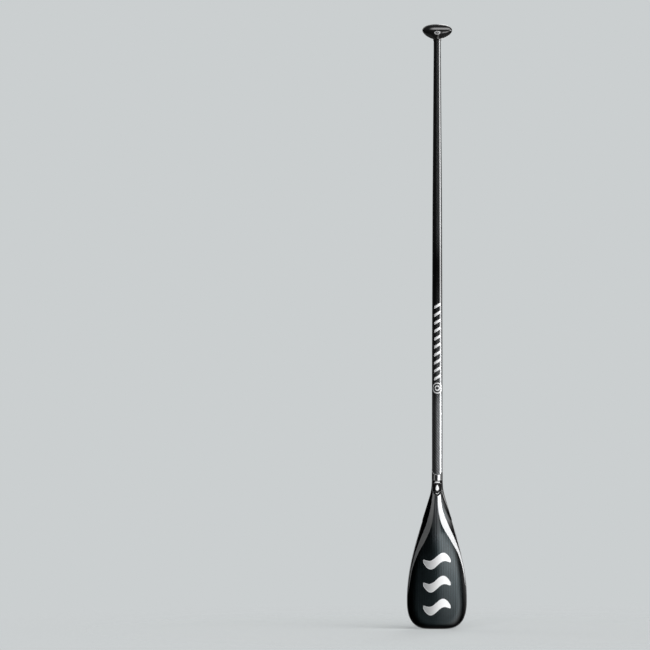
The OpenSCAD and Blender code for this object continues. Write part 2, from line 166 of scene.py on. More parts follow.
def tip_h(x, inset):
    share = np.clip(np.abs(x) / (HALF_W - inset), 0, 1)
    return WIDE_H - (WIDE_H - inset) * (1 - share ** TIP_M) ** (1 / TIP_N)


def outline_w(h, inset):
    h = np.asarray(h, float)
    step = np.where(h < NOTCH_H, STEP_W * ease(STEP_H, NOTCH_H, h), 0)
    return np.where(h < WIDE_H, tip_w(h, inset), np.interp(h, EDGE[:, 1], EDGE[:, 0]) - inset - step)


def skin_w(h):
    h = np.asarray(h, float)
    return np.where(h < NOTCH_H, outline_w(h, GUARD_W), outline_w(h, 0))


def section_w(h):
    """Half width that the faces' sections are stretched over, without the step at the guard's end."""
    h = np.asarray(h, float)
    inset = GUARD_W * (1 - ease(NOTCH_H - NOTCH_BLEND, NOTCH_H + NOTCH_BLEND, h))
    return np.where(h < WIDE_H, tip_w(h, GUARD_W), np.interp(h, EDGE[:, 1], EDGE[:, 0]) - inset)


def flatness(h):
    return 1 - ease(FLAT_H, ROUND_H, h)


def wall_t(h):
    return mix(*WALL, flatness(h))


def mid_y(h):
    d = np.maximum(ROUND_H - h, 0)
    return math.tan(TILT) * d * d / (d + BEND_SOFT)


def edge_distance(x, h):
    """Distance from the edge of the skins, nearly, counted double up from the tip."""
    across = np.maximum(skin_w(h) - np.abs(x), 0)
    along = 2 * np.maximum(h - tip_h(x, GUARD_W), 0)
    return across * along / np.maximum(np.hypot(across, along), 0.05)


def face_y(x, h, side, sink=0.0):
    """y of the front (side -1) or back (side 1) face of the blade, or of a face sunk below it."""
    x, h = np.asarray(x, float), np.asarray(h, float)
    s = flatness(h)
    u = np.minimum(np.abs(x) / np.maximum(section_w(h) - sink * (1 - s), 0.05), 1)
    taper = 1 - (1 - np.minimum(h / FULL_H, 1)) ** 2
    round_part = np.sqrt(1 - u * u)
    if side < 0:
        top = math.hypot(1, RIDGE_K)
        section = (top - np.sqrt(u * u + RIDGE_K ** 2)) / (top - RIDGE_K)
        fall = EDGE_FALL * (1 - ease(*ROLL_END, h))
        rise = mix((FRONT_RISE - fall) * taper, NECK_R, ease(FLAT_H, ROUND_H, h))
        extra = fall * (1 - (1 - np.minimum(edge_distance(x, h) / FALL_W, 1)) ** 2)
    else:
        section = 1 - u * u
        rise = mix(BACK_RISE * taper, NECK_R, ease(FLAT_H + BACK_DELAY, ROUND_H, h))
        bar = (1 - np.minimum(np.abs(x) / SPINE_W, 1) ** 2) ** 2
        extra = SPINE_RISE * ease(SPINE_START, NOTCH_H, h) * s * bar
    edge = GUARD_T / 2 * (1 - ease(NOTCH_H, ROUND_H, h))
    return mid_y(h) + side * (edge - sink * s + (rise - sink * (1 - s)) * mix(round_part, section, s) + extra)


def row_h(h, u):
    """Height of a row of the skin at share u of its width: rows follow the tip's curve and the lip."""
    low = (tip_h(u * tip_w(CORNER_H, GUARD_W), GUARD_W) - GUARD_W) / (CORNER_H - GUARD_W)
    tip = h - (CORNER_H - GUARD_W) * (FADE_H - h) / (FADE_H - CORNER_H) * (1 - low)
    lip = h - LIP_DROP * np.maximum(h - ROUND_H, 0) / (LIP_H - ROUND_H) * np.sqrt(np.maximum(1 - u * u, 0))
    return np.where(h < FADE_H, tip, lip)


def on_blade(x, h, lift):
    return np.stack([x, face_y(x, h, -1) - lift, h], -1)


# ---- Shaft and grip surfaces ----

def shaft_r(h):
    p = np.array(SHAFT, float)
    return np.interp(h, p[:, 0], p[:, 1])


def on_shaft(angle, h, lift):
    r, a = shaft_r(h) + lift, np.radians(angle)
    return np.stack([r * np.sin(a), -r * np.cos(a), h], -1)


def grip_x(h, t=0.0):
    above, below = (h - SEAM_H) / (GRIP_UP - t), (SEAM_H - h) / GRIP_DOWN
    up = (GRIP_X - t) * (1 - np.clip(above, 0, 1) ** GRIP_TOP_N) ** (1 / GRIP_TOP_M)
    down = (GRIP_X - t) * (1 - np.clip(below, 0, 1) ** (1 / GRIP_N)) ** (1 / GRIP_M)
    return np.where(h >= SEAM_H, up, np.maximum(down, COLLAR_R - t))


def grip_y(h, t=0.0):
    up = (GRIP_Y - t) * np.sqrt(1 - np.clip((h - SEAM_H) / (GRIP_UP - t), 0, 1) ** 2)
    return np.where(h >= SEAM_H, up, mix(COLLAR_R, GRIP_Y, ease(SEAM_H - GRIP_DOWN, SEAM_H, h)) - t)


def on_grip(x, h, lift):
    return np.stack([x, -grip_y(h) * np.sqrt(1 - (x / grip_x(h)) ** 2) - lift, h], -1)


# ---- Meshes ----

def make(name, points, faces, material, replaces=(), sharp=40, values=None):
    """Mesh object from points in millimetres that rides on the part. values are named point attributes."""
    points = np.array(points, float) * MM
    points[:, 2] += TIP_Z
    mesh = bpy.data.meshes.new(name)
    mesh.from_pydata(points.tolist(), [], faces)
    mesh.update()
    mesh.polygons.foreach_set("use_smooth", [True] * len(mesh.polygons))
    mesh.set_sharp_from_angle(angle=math.radians(sharp))
    for key, value in (values or {}).items():
        attribute = mesh.attributes.new(key, "FLOAT", "POINT")
        attribute.data.foreach_set("value", np.asarray(value, np.float32).ravel())
    mesh.materials.append(material)
    piece = bpy.data.objects.new(name, mesh)
    bpy.context.scene.collection.objects.link(piece)
    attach(piece, "root")
    if replaces:
        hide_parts(*replaces)
    return piece


def plate(front, back):
    """Points and faces of the solid between two grids of points, the front one seen from -y."""
    rows, cols = front.shape[:2]
    n = rows * cols
    faces = []
    for j in range(rows - 1):
        for i in range(cols - 1):
            a = j * cols + i
            faces.append((a, a + 1, a + cols + 1, a + cols))
            faces.append((n + a, n + a + cols, n + a + cols + 1, n + a + 1))
    border = (list(range(cols - 1)) + [j * cols + cols - 1 for j in range(rows - 1)]
              + [(rows - 1) * cols + i for i in range(cols - 1, 0, -1)]
              + [j * cols for j in range(rows - 1, 0, -1)])
    for k, a in enumerate(border):
        b = border[(k + 1) % len(border)]
        faces.append((a, n + a, n + b, b))
    return np.vstack([front.reshape(-1, 3), back.reshape(-1, 3)]), faces


def loft(rings, closed=False):
    """Points and faces through rings of points, given as (ring, point, 3), with flat ends unless closed."""
    rings = np.asarray(rings, float)
    m, n = rings.shape[:2]
    faces = []
    for j in range(m if closed else m - 1):
        a, b = j * n, (j + 1) % m * n
        for i in range(n):
            k = (i + 1) % n
            faces.append((a + i, b + i, b + k, a + k))
    if not closed:
        faces.append(tuple(range(n)))
        faces.append(tuple((m - 1) * n + i for i in range(n - 1, -1, -1)))
    return rings.reshape(-1, 3), faces


def joined(parts):
    """Several (points, faces) as one."""
    points, faces, n = [], [], 0
    for p, f in parts:
        points.append(p)
        faces += [tuple(i + n for i in face) for face in f]
        n += len(p)
    return np.vstack(points), faces


def film(on, places, level):
    """Thin film of paint over a grid of places, given as a pair of arrays."""
    a, h = places
    return plate(on(a, h, level[1]), on(a, h, level[0]))


def band(on, outer, inner, level):
    """Closed band of film between two loops of places, both anticlockwise."""
    rings = [on(*loop, lift) for loop, lift in
             ((inner, level[0]), (inner, level[1]), (outer, level[1]), (outer, level[0]))]
    return loft(np.stack(rings, 1), closed=True)


def bead(path, radius, sides=8):
    """Thin round bead along a closed path of points."""
    run = np.roll(path, -1, 0) - np.roll(path, 1, 0)
    run /= np.linalg.norm(run, axis=1)[:, None]
    flat = np.cross(run, [0, 1, 0.0])
    flat /= np.maximum(np.linalg.norm(flat, axis=1), 1e-9)[:, None]
    other = np.cross(run, flat)
    turn = np.linspace(0, 2 * np.pi, sides, endpoint=False)
    rings = path[:, None] + radius * (np.cos(turn)[None, :, None] * flat[:, None]
                                      + np.sin(turn)[None, :, None] * other[:, None])
    return loft(rings[:, ::-1], closed=True)


def grid(h, u):
    """Arrays of u and h at each point of a grid: a row for each h, a column for each u."""
    return np.meshgrid(u, h)


def oval(rx, rh, h, n=96):
    """Loop of n places round an oval at height h."""
    a = np.linspace(0, 2 * np.pi, n, endpoint=False)
    return rx * np.cos(a), h + rh * np.sin(a)


# ---- Materials ----

OBJECT = 3                  # output of the Texture Coordinate node with the object's own coordinates
SPREAD = (0.3, 0.7)         # most noise lies between these


class Nodes:
    """Short ways to add nodes to a tree. Values are sockets, numbers or colours."""

    def __init__(self, tree):
        self.tree = tree

    def put(self, socket, value):
        if isinstance(value, bpy.types.NodeSocket):
            self.tree.links.new(value, socket)
        elif isinstance(value, tuple) and len(value) == 3 and len(socket.default_value) == 4:
            socket.default_value = (*value, 1)
        else:
            socket.default_value = value

    def node(self, kind, *values, out=0, **settings):
        node = self.tree.nodes.new(kind)
        for key, value in settings.items():
            setattr(node, key, value)
        for i, value in enumerate(values):
            self.put(node.inputs[i], value)
        return node.outputs[out]

    def math(self, operation, *values):
        return self.node("ShaderNodeMath", *values, operation=operation)

    def add(self, a, b):
        return self.math("ADD", a, b)

    def times(self, a, b):
        return self.math("MULTIPLY", a, b)

    def smooth(self, value, low, high, to_low=0.0, to_high=1.0):
        return self.node("ShaderNodeMapRange", value, low, high, to_low, to_high,
                         interpolation_type="SMOOTHSTEP")

    def split(self, vector):
        """The three parts of a vector."""
        node = self.tree.nodes.new("ShaderNodeSeparateXYZ")
        self.put(node.inputs[0], vector)
        return node.outputs


class Graph(Nodes):
    """A material: its nodes, and short ways to reach its shader."""

    def __init__(self, name, roughness=0.5, metallic=0.0, coat=0.0, coat_roughness=0.04, specular=0.5):
        self.material = bpy.data.materials.new(name)
        self.material.use_nodes = True
        super().__init__(self.material.node_tree)
        self.shader = self.tree.nodes["Principled BSDF"]
        for key, value in (("Roughness", roughness), ("Metallic", metallic), ("Coat Weight", coat),
                           ("Coat Roughness", coat_roughness), ("Specular IOR Level", specular)):
            self.shader.inputs[key].default_value = value

    def mixer(self, kind, *values):
        """Mix node of a kind, with the share and the two values each given as (input, value)."""
        node = self.tree.nodes.new("ShaderNodeMix")
        node.data_type = kind
        for i, value in values:
            self.put(node.inputs[i], value)
        return node

    def blend(self, share, a, b):
        """Colour between a and b."""
        return self.mixer("RGBA", (0, share), (6, a), (7, b)).outputs[2]

    def between(self, share, a, b):
        """Number between a and b."""
        return self.mixer("FLOAT", (0, share), (2, a), (3, b)).outputs[0]

    def place(self):
        """x, y and h of the point, in millimetres."""
        at = self.node("ShaderNodeTexCoord", out=OBJECT)
        x, y, z = (self.times(part, 1 / MM) for part in self.split(at))
        return x, y, self.math("SUBTRACT", z, TIP_Z / MM)

    def point(self, x, y, z):
        return self.node("ShaderNodeCombineXYZ", x, y, z)

    def noise(self, at, scale, detail):
        node = self.tree.nodes.new("ShaderNodeTexNoise")
        self.put(node.inputs["Vector"], at)
        node.inputs["Scale"].default_value = scale
        node.inputs["Detail"].default_value = detail
        return node.outputs[0]

    def wave(self, value, period):
        """0 to 1 and back once in each period."""
        return self.node("ShaderNodeMapRange", self.math("SINE", self.times(value, 2 * math.pi / period)),
                         -1.0, 1.0, 0.0, 1.0)

    def bump(self, height, distance, strength):
        """Bump of a height field, whose full height is a distance in millimetres."""
        node = self.tree.nodes.new("ShaderNodeBump")
        node.inputs["Strength"].default_value = strength
        node.inputs["Distance"].default_value = distance * MM
        self.put(node.inputs["Height"], height)
        self.put(self.shader.inputs["Normal"], node.outputs[0])

    def colour(self, value):
        self.put(self.shader.inputs["Base Color"], value)

    def rough(self, value):
        self.put(self.shader.inputs["Roughness"], value)


def grey(v, tint=0.0):
    """Grey with a little blue."""
    return (v * (1 - tint), v, v * (1 + tint))


COLUMN = 7.55               # pitch of the columns of the blade's braid
TICK = 3.87                 # pitch of the ticks in a column
TICK_LEAN = 5.0             # how steeply the ticks lean
TICK_SHARE = 0.2            # share of the ticks in the weave, the columns being the rest
EDGE_SHADE = (4.0, 26.0)        # the blade's colour goes black as painted shade over these distances from its edge
NECK_LEFT, NECK_RIGHT, NECK_LOW = (-26.0, -6.0), (13.0, -1.0), (240.0, 380.0)   # the painted highlight on the neck fades in over these


def blade_carbon(name, low, high, rough=(0.22, 0.17), coat=0.55):
    """Braided carbon under a clear coat: columns of slanted ticks that fade out towards the edge, where the
    colour goes black as painted shade.
    It is less glossy on the neck, between the swooshes, and painted lighter there as a painted highlight."""
    g = Graph(name, metallic=1.0, coat=coat, coat_roughness=0.06)
    x, _, h = g.place()
    column = g.wave(x, COLUMN)
    off = g.math("SUBTRACT", g.math("FRACT", g.times(x, 1 / COLUMN)), 0.5)
    lean = g.times(g.math("ABSOLUTE", off), TICK_LEAN)
    tick = g.wave(g.add(h, lean), TICK)
    rim = g.tree.nodes.new("ShaderNodeAttribute")
    rim.attribute_name = "rim"
    # the weave's contrast drops towards the edge, part of the painted shade there
    inside = g.smooth(rim.outputs["Fac"], 9.0, 24.0, 0.12, 1.0)
    cloud = g.noise(g.point(g.times(x, 0.02), g.times(h, 0.006), 0.0), 1.0, 3.0)
    weave = g.times(g.add(g.times(column, 1 - TICK_SHARE), g.times(tick, TICK_SHARE)), inside)
    weave = g.times(weave, g.smooth(cloud, *SPREAD, 0.8, 1.15))
    # painted highlight: a lighter colour in a window on the neck, between the swooshes
    neck = g.times(g.smooth(x, *NECK_LEFT), g.smooth(x, *NECK_RIGHT))
    neck = g.times(g.smooth(h, *NECK_LOW), neck)
    neck_highlight_colour = g.blend(weave, grey(0.07, 0.05), grey(0.19, 0.06))
    colour = g.blend(neck, g.blend(weave, low, high), neck_highlight_colour)
    # painted shade: black towards the edge of the blade
    g.colour(g.blend(g.smooth(rim.outputs["Fac"], *EDGE_SHADE), grey(0.003), colour))
    g.rough(g.between(neck, g.smooth(tick, 0.0, 1.0, *rough), 0.45))
    g.bump(weave, 0.05, 0.35)
    return g.material


TOWS = 48                   # tows round the shaft
TOW = 2.16                  # width of a tow along the shaft
# How silvery the shaft is, as (from height, to height, from level, to level)
BY_NECK = (690.0, 800.0, 1.0, 0.0)
BY_PRINT = (700.0, 1150.0, 0.45, 0.0)
UPPER = (1140.0, 1270.0, 0.0, 0.15)


def shaft_carbon():
    """Twill under a clear coat: silvery at the neck, black behind the print, dark grey above it."""
    g = Graph("shaft_twill", metallic=1.0, coat=1.0, coat_roughness=0.06)
    x, y, h = g.place()
    turn = g.math("ARCTAN2", x, g.times(y, -1.0))
    across = g.times(turn, TOWS / (2 * math.pi))
    along = g.times(h, 1 / TOW)
    cell = g.math("FLOORED_MODULO", g.add(g.math("FLOOR", across), g.math("FLOOR", along)), 4.0)
    warp = g.math("LESS_THAN", cell, 1.5)

    def tow(value):
        off = g.math("SUBTRACT", g.times(g.math("FRACT", value), 2.0), 1.0)
        return g.math("SUBTRACT", 1.0, g.math("POWER", g.math("ABSOLUTE", off), 3.0))

    height = g.between(warp, tow(along), tow(across))
    by_neck, by_print, upper = (g.smooth(h, *zone) for zone in (BY_NECK, BY_PRINT, UPPER))
    level = g.add(g.math("MAXIMUM", by_neck, by_print), upper)
    cloud = g.noise(g.point(g.times(x, 0.03), g.times(y, 0.03), g.times(h, 0.01)), 1.0, 3.0)
    level = g.times(level, g.smooth(cloud, *SPREAD, 0.92, 1.06))
    low = g.blend(level, grey(0.002), grey(0.125, 0.03))
    high = g.blend(level, grey(0.007), grey(0.38, 0.03))
    g.colour(g.blend(g.times(warp, g.smooth(height, 0.0, 1.0, 0.5, 1.0)), low, high))
    g.rough(g.between(warp, 0.36, 0.29))
    g.bump(height, 0.06, 0.25)
    return g.material


def paint(name, stops, axis="x", metallic=0.35):
    """Silver paint whose colour runs along an axis between two stops, each (place, grey); the run between
    them is painted light and shade.
    """
    g = Graph(name, metallic=metallic, coat=0.6, coat_roughness=0.06)
    x, y, h = g.place()
    (a, low), (b, high) = stops
    # how far along the run of painted light and shade the point lies
    share = g.smooth(x if axis == "x" else h, a, b)
    at = g.point(x, y, h)
    fine = g.noise(at, 2.2, 1.0)
    broad = g.noise(at, 0.05, 2.0)
    colour = g.blend(share, grey(low, 0.015), grey(high, 0.005))
    shade = g.times(g.smooth(fine, *SPREAD, 0.96, 1.0), g.smooth(broad, *SPREAD, 0.96, 1.0))
    g.colour(g.blend(shade, grey(low * 0.2), colour))
    g.rough(g.smooth(fine, 0.2, 0.8, 0.27, 0.39))
    g.bump(fine, 0.012, 0.35)
    return g.material


CLOTH = 3.4                 # pitch of the cloth that shows faintly through the grip's gloss


def gloss_black():
    """Gloss black with faint fine scratches and a trace of the cloth below."""
    g = Graph("grip_gloss", coat=1.0, coat_roughness=0.1, specular=0.12)
    x, y, h = g.place()
    at = g.point(x, y, h)
    cloth = g.wave(g.add(x, h), CLOTH)
    broad = g.noise(at, 0.04, 3.0)
    scratch = g.noise(g.point(g.times(x, 0.15), g.times(y, 0.15), g.times(h, 2.5)), 1.0, 4.0)
    share = g.times(g.times(cloth, g.smooth(broad, 0.35, 0.7, 0.3, 1.0)), 0.6)
    g.colour(g.blend(share, grey(0.0036), grey(0.0108, 0.04)))
    g.rough(g.smooth(scratch, 0.3, 0.75, 0.24, 0.44))
    g.bump(g.add(g.times(cloth, 0.4), g.times(scratch, 0.6)), 0.01, 0.3)
    return g.material


def satin_black():
    """Satin black film with a fine orange-peel texture."""
    g = Graph("badge_satin", specular=0.07)
    at = g.point(*g.place())
    peel = g.noise(at, 0.9, 2.0)
    g.colour(g.blend(g.smooth(peel, *SPREAD), grey(0.002), grey(0.004)))
    g.rough(g.smooth(peel, 0.2, 0.8, 0.44, 0.56))
    g.bump(peel, 0.02, 0.3)
    return g.material


GUARD_TICK, GUARD_LEAN = 2.6, 0.9   # pitch and lean of the ticks of the edge guard
LIT_LOW, LIT_HIGH = (90.0, 200.0), (335.0, 270.0)   # heights over which its ticks light up and go out


def guard_weave():
    """Edge guard: a slanted weave that shows as light ticks along the sides, scuffed at the tip; the ticks'
    brightness along the sides is a painted highlight.
    """
    g = Graph("guard_weave", coat=0.35, coat_roughness=0.15)
    x, y, h = g.place()
    side = g.math("SIGN", x)
    tick = g.wave(g.add(h, g.times(g.times(x, side), GUARD_LEAN)), GUARD_TICK)
    tick = g.smooth(tick, 0.35, 0.75)
    # painted highlight: the ticks are bright only over these heights
    lit = g.times(g.smooth(h, *LIT_LOW), g.smooth(h, *LIT_HIGH))
    base = g.blend(lit, grey(0.02), grey(0.06))
    light = g.blend(lit, grey(0.05), grey(0.34, 0.02))
    scuff = g.smooth(g.noise(g.point(g.times(x, 0.5), g.times(y, 0.5), g.times(h, 0.5)), 1.0, 5.0), 0.6, 0.72)
    scuff = g.times(scuff, g.smooth(h, 60.0, 4.0))
    colour = g.blend(tick, base, light)
    g.colour(g.blend(g.times(scuff, 0.5), colour, grey(0.12)))
    g.rough(g.smooth(scuff, 0.0, 1.0, 0.36, 0.6))
    g.bump(g.add(tick, g.times(scuff, -0.6)), 0.05, 0.5)
    return g.material


def foam():
    """Closed-cell foam: pale, with fine cells."""
    g = Graph("foam_cells")
    cells = g.tree.nodes.new("ShaderNodeTexVoronoi")
    g.put(cells.inputs["Vector"], g.point(*g.place()))
    cells.inputs["Scale"].default_value = 1.1
    cell = g.smooth(cells.outputs["Distance"], 0.0, 0.6)
    g.colour(g.blend(cell, (0.58, 0.54, 0.44), (0.76, 0.73, 0.64)))
    g.rough(g.smooth(cell, 0.0, 1.0, 0.78, 0.92))
    g.bump(cell, 0.15, 0.6)
    return g.material


def laminate(name, low, high):
    """Inner laminate: straight fibres in a matt resin."""
    g = Graph(name)
    x, y, h = g.place()
    strand = g.noise(g.point(g.times(x, 1.6), g.times(y, 1.6), g.times(h, 0.04)), 1.0, 4.0)
    share = g.smooth(strand, *SPREAD)
    g.colour(g.blend(share, low, high))
    g.rough(g.smooth(strand, *SPREAD, 0.48, 0.66))
    g.bump(share, 0.08, 0.5)
    return g.material


def resin():
    """Thickened epoxy: amber, with small bubbles."""
    g = Graph("epoxy_fillet", coat=0.4)
    at = g.point(*g.place())
    bubble = g.smooth(g.noise(at, 0.7, 3.0), 0.55, 0.72)
    g.colour(g.blend(bubble, (0.52, 0.42, 0.24), (0.68, 0.6, 0.42)))
    g.rough(g.smooth(bubble, 0.0, 1.0, 0.32, 0.55))
    g.bump(bubble, 0.05, 0.5)
    return g.material


def lip_highlight_resin():
    """Fillet of filled resin at the end of the neck; its pale colour is a painted highlight along the lip's
    edge.
    """
    g = Graph("lip_highlight_resin", coat=0.7, coat_roughness=0.08)
    at = g.point(*g.place())
    fleck = g.noise(at, 1.4, 3.0)
    # pale colour: painted highlight along the lip
    g.colour(g.blend(g.smooth(fleck, *SPREAD), grey(0.38, 0.01), grey(0.55, 0.01)))
    g.rough(g.smooth(fleck, *SPREAD, 0.28, 0.42))
    g.bump(fleck, 0.03, 0.4)
    return g.material


# ---- Blade ----

def skin(side, name, material):
    """One skin of the blade, 0.9 mm thick, thinner on the neck."""
    rows = np.concatenate([np.linspace(CORNER_H, NOTCH_H - STEP_GAP, 150), np.linspace(NOTCH_H, LIP_H, 84)])
    u, h = grid(rows, np.sin(np.radians(np.linspace(-90, 90, 97))))

    def face(sink):
        s = flatness(h)
        x = u * (skin_w(h) - sink * (1 - s))
        z = row_h(h, u)
        y = face_y(x, z, side, sink)
        if np.any(sink > 0):
            y = np.where((np.abs(u) > 0.9999) & (h >= NOTCH_H), mid_y(z), y)
        return np.stack([x, y, z], -1)

    outer, inner = face(0.0 * h), face(wall_t(h))
    points, faces = plate(outer, inner) if side < 0 else plate(inner, outer)
    rim = np.tile(edge_distance(outer[..., 0], outer[..., 2]).ravel(), 2)
    return make(name, points, faces, material, (name.replace("shell", "face_skin"),),
                values={"rim": rim})


TONGUE_DEPTH = 1.5          # reach of the edge guard's tongue in between the skins
TONGUE_GAP = 0.95           # from the guard's face to the tongue: the skin and a little air
RAIL_START = 0.02           # the rail starts this share of its width out from the skins
RAIL_LEAST = 0.42           # share of its thickness that is left at its outer side


def guard(material):
    """The edge guard: a rounded rail with a tongue between the skins."""
    low = np.linspace(CORNER_H, NOTCH_H - STEP_GAP, 150)
    across = np.sin(np.radians(np.linspace(-88, 88, 120)))

    def station(h, s):
        return [[s * skin_w(h), h], [s * outline_w(h, 0), h]]

    def tip(u):
        x = [u * tip_w(CORNER_H, i) for i in (GUARD_W, 0.0)]
        return [[x[0], tip_h(x[0], GUARD_W)], [x[1], tip_h(x[1], 0.0)]]

    stations = np.array([station(h, -1) for h in low[::-1]] + [tip(u) for u in across]
                        + [station(h, 1) for h in low], float)
    half = GUARD_T / 2
    tongue = half - TONGUE_GAP
    arc = np.radians(np.linspace(0, 75, 7))
    side = [(mix(RAIL_START, 1, math.sin(a)), half * mix(RAIL_LEAST, 1, math.cos(a) ** 0.8)) for a in arc]
    section = [(out, -up) for out, up in side[::-1]]
    section += [(0, -tongue), (-TONGUE_DEPTH, -tongue), (-TONGUE_DEPTH, tongue), (0, tongue)] + side
    rings = []
    for inner, outer in stations:
        ring = []
        for out, up in section:
            at = inner + (outer - inner) * out
            ring.append([at[0], mid_y(at[1]) + up, at[1]])
        rings.append(ring)
    points, faces = loft(rings)
    make("edge_rail", points, faces, material, ("edge_guard",), sharp=50)


SWOOSH_START = 0.6          # a swoosh starts this far above the first points of its edges
SWOOSH_TOP = 488.2          # the swooshes end at the lip of the neck
SWOOSH_BEND = 470           # above this, their rows bend to follow it
SWOOSH_LEAST = 480          # they end no lower than this
LIP_GAP = 1.1               # and this far from the lip


def swoosh(name, low, high, material, node):
    """A swoosh between two curves, up to the lip of the neck."""
    h = np.linspace(low[0][0] + SWOOSH_START, SWOOSH_TOP, 190)
    a, b = through(low, h), through(high, h)
    share = np.linspace(0, 1, 9)[None, :]
    x = a[:, None] + (b - a)[:, None] * share
    lip = LIP_H - LIP_DROP * np.sqrt(1 - (x / NECK_R) ** 2 * (np.abs(x) < NECK_R)) - LIP_GAP
    bent = h[:, None] > SWOOSH_BEND
    top = np.where(bent, (h[:, None] - SWOOSH_BEND) / (SWOOSH_TOP - SWOOSH_BEND), 0)
    z = np.where(bent, mix(SWOOSH_BEND, np.maximum(lip, SWOOSH_LEAST), top), h[:, None] + 0 * x)
    points, faces = film(on_blade, (x, z), PAINT)
    make(name, points, faces, material, (node,))


WAVE_H = [70, 143, 216]
WAVE_REACH, WAVE_SWING = 43.0, 13.0
WAVE_END, WAVE_THICK = 1, 13        # half thickness at the ends, and what the middle adds to it
WAVE_EDGE = 0.9                     # width of the bright outline
WAVE_EDGE_END = 1.012               # how much longer the outline is than the wave
WAVE_EDGE_LIFT = (0.05, 0.2)


def waves(fill, outline):
    """Three waves with tapered ends, each inside a thin bright outline."""
    t = np.linspace(-1, 1, 121)
    core, rim = [], []
    for middle in WAVE_H:
        path = middle + WAVE_SWING * np.sin(np.pi * t)
        half = WAVE_END + WAVE_THICK * np.sqrt(1 - t * t)
        across = np.linspace(-1, 1, 9)[:, None]
        x, h = WAVE_REACH * t[None, :] + 0 * across, path[None, :] + across * half[None, :]
        core.append(film(on_blade, (x, h), PAINT))
        loop_x = WAVE_REACH * np.concatenate([t, t[-2:0:-1]])
        loop_h = np.concatenate([path - half, (path + half)[-2:0:-1]])
        centre = np.concatenate([path, path[-2:0:-1]])
        grow = 1 + WAVE_EDGE / np.maximum(np.abs(loop_h - centre), 2.2)
        outer = loop_x * WAVE_EDGE_END, centre + (loop_h - centre) * grow
        rim.append(band(on_blade, outer, (loop_x, loop_h), WAVE_EDGE_LIFT))
    points, faces = joined(core)
    make("wave_fill", points, faces, fill, ("blade_waves",))
    points, faces = joined(rim)
    make("wave_outline", points, faces, outline)


BEAD_R, BEAD_AT = 0.42, 17.05       # radius of the fillet, and its distance from the shaft's axis


def lip_bead(material):
    """Fillet round the scalloped end of the neck, against the shaft."""
    u = np.sin(np.radians(np.linspace(-90, 90, 65)))
    loops = []
    for side, order in ((-1, 1), (1, -1)):
        h = LIP_H - LIP_DROP * np.sqrt(1 - u * u)
        loops.append(np.stack([u * BEAD_AT, side * BEAD_AT * np.sqrt(1 - u * u), h], -1)[::order][:-1])
    points, faces = bead(np.vstack(loops), BEAD_R)
    make("neck_lip_bead", points, faces, material)


# ---- Badge ----

BADGE_W, BADGE_LOW, BADGE_SIDE, BADGE_TOP, BADGE_DIP = 15.2, 421.0, 442.5, 473.5, 3.0
BORDER_W = 0.8
DIVIDER_AT, DIVIDER_W = (435.0, 461.0), 0.5
DROP_LOW, DROP_LENGTH, DROP_W = 439, 19, 13
BAR_LOW, BAR_HIGH, BAR_HALF = 464, 467, 8
CHEVRON_LOW, CHEVRON_W, CHEVRON_HALF, CHEVRON_RISE = 427.5, 1.6, 5, 3


def badge_half(h, inset):
    share = np.clip((BADGE_SIDE - h) / (BADGE_SIDE - BADGE_LOW - inset), 0, 1)
    return np.where(h >= BADGE_SIDE, BADGE_W - inset, (BADGE_W - inset) * (1 - share ** 2.5) ** 0.8)


def badge_top(u, inset):
    return BADGE_TOP - inset - BADGE_DIP * (1 - u * u)


def badge_loop(inset):
    low = BADGE_LOW + inset
    climb = mix(low, BADGE_SIDE, np.linspace(0, 1, 26)[1:] ** 1.6)
    side = badge_half(climb, inset)
    u = np.linspace(1, -1, 61)
    x = np.concatenate([[0], side, u * (BADGE_W - inset), -side[::-1]])
    h = np.concatenate([[low], climb, badge_top(u, inset), climb[::-1]])
    return x, h


def badge(black, silver, line):
    """Shield with a border and two dividers in a dim grey, and a drop, a bar and a chevron in silver."""
    u = np.linspace(-1, 1, 49)
    t = np.concatenate([[0.012], np.linspace(0.05, 1, 24)])
    low = mix(BADGE_LOW, BADGE_SIDE, t)[:, None] + 0 * u[None, :]
    high = mix(BADGE_SIDE, badge_top(u, 0.0)[None, :], np.linspace(0, 1, 26)[1:, None])
    x = np.vstack([u[None, :] * badge_half(low, 0.0), u[None, :] * BADGE_W + 0 * high])
    points, faces = film(on_blade, (x, np.vstack([low, high])), BADGE)
    make("shield_plate", points, faces, black, ("badge_base",))

    parts = [band(on_blade, badge_loop(0.0), badge_loop(BORDER_W), PRINT)]
    for h in DIVIDER_AT:
        v, z = grid(np.array([h, h + DIVIDER_W]), u)
        parts.append(film(on_blade, (v * (badge_half(z, 1.0) - 1), z), PRINT))
    points, faces = joined(parts)
    make("shield_border", points, faces, line, ("badge_border",))

    v, t = grid(np.linspace(0.004, 0.995, 40), np.linspace(-1, 1, 17))
    half = DROP_W * np.sqrt(t) * (1 - t) + 0.08
    drop = film(on_blade, (v * half, DROP_LOW + DROP_LENGTH * t), PRINT)
    v, z = grid(np.linspace(BAR_LOW, BAR_HIGH, 4), np.linspace(-1, 1, 33))
    bar = film(on_blade, (BAR_HALF * v, z), PRINT)
    v, d = grid(np.linspace(0, CHEVRON_W, 3), np.linspace(-1, 1, 33))
    chevron = film(on_blade, (CHEVRON_HALF * v, CHEVRON_LOW + d + CHEVRON_RISE * np.abs(v)), PRINT)
    points, faces = joined([drop, bar, chevron])
    make("shield_symbol", points, faces, silver, ("badge_symbol",))


# ---- Shaft ----

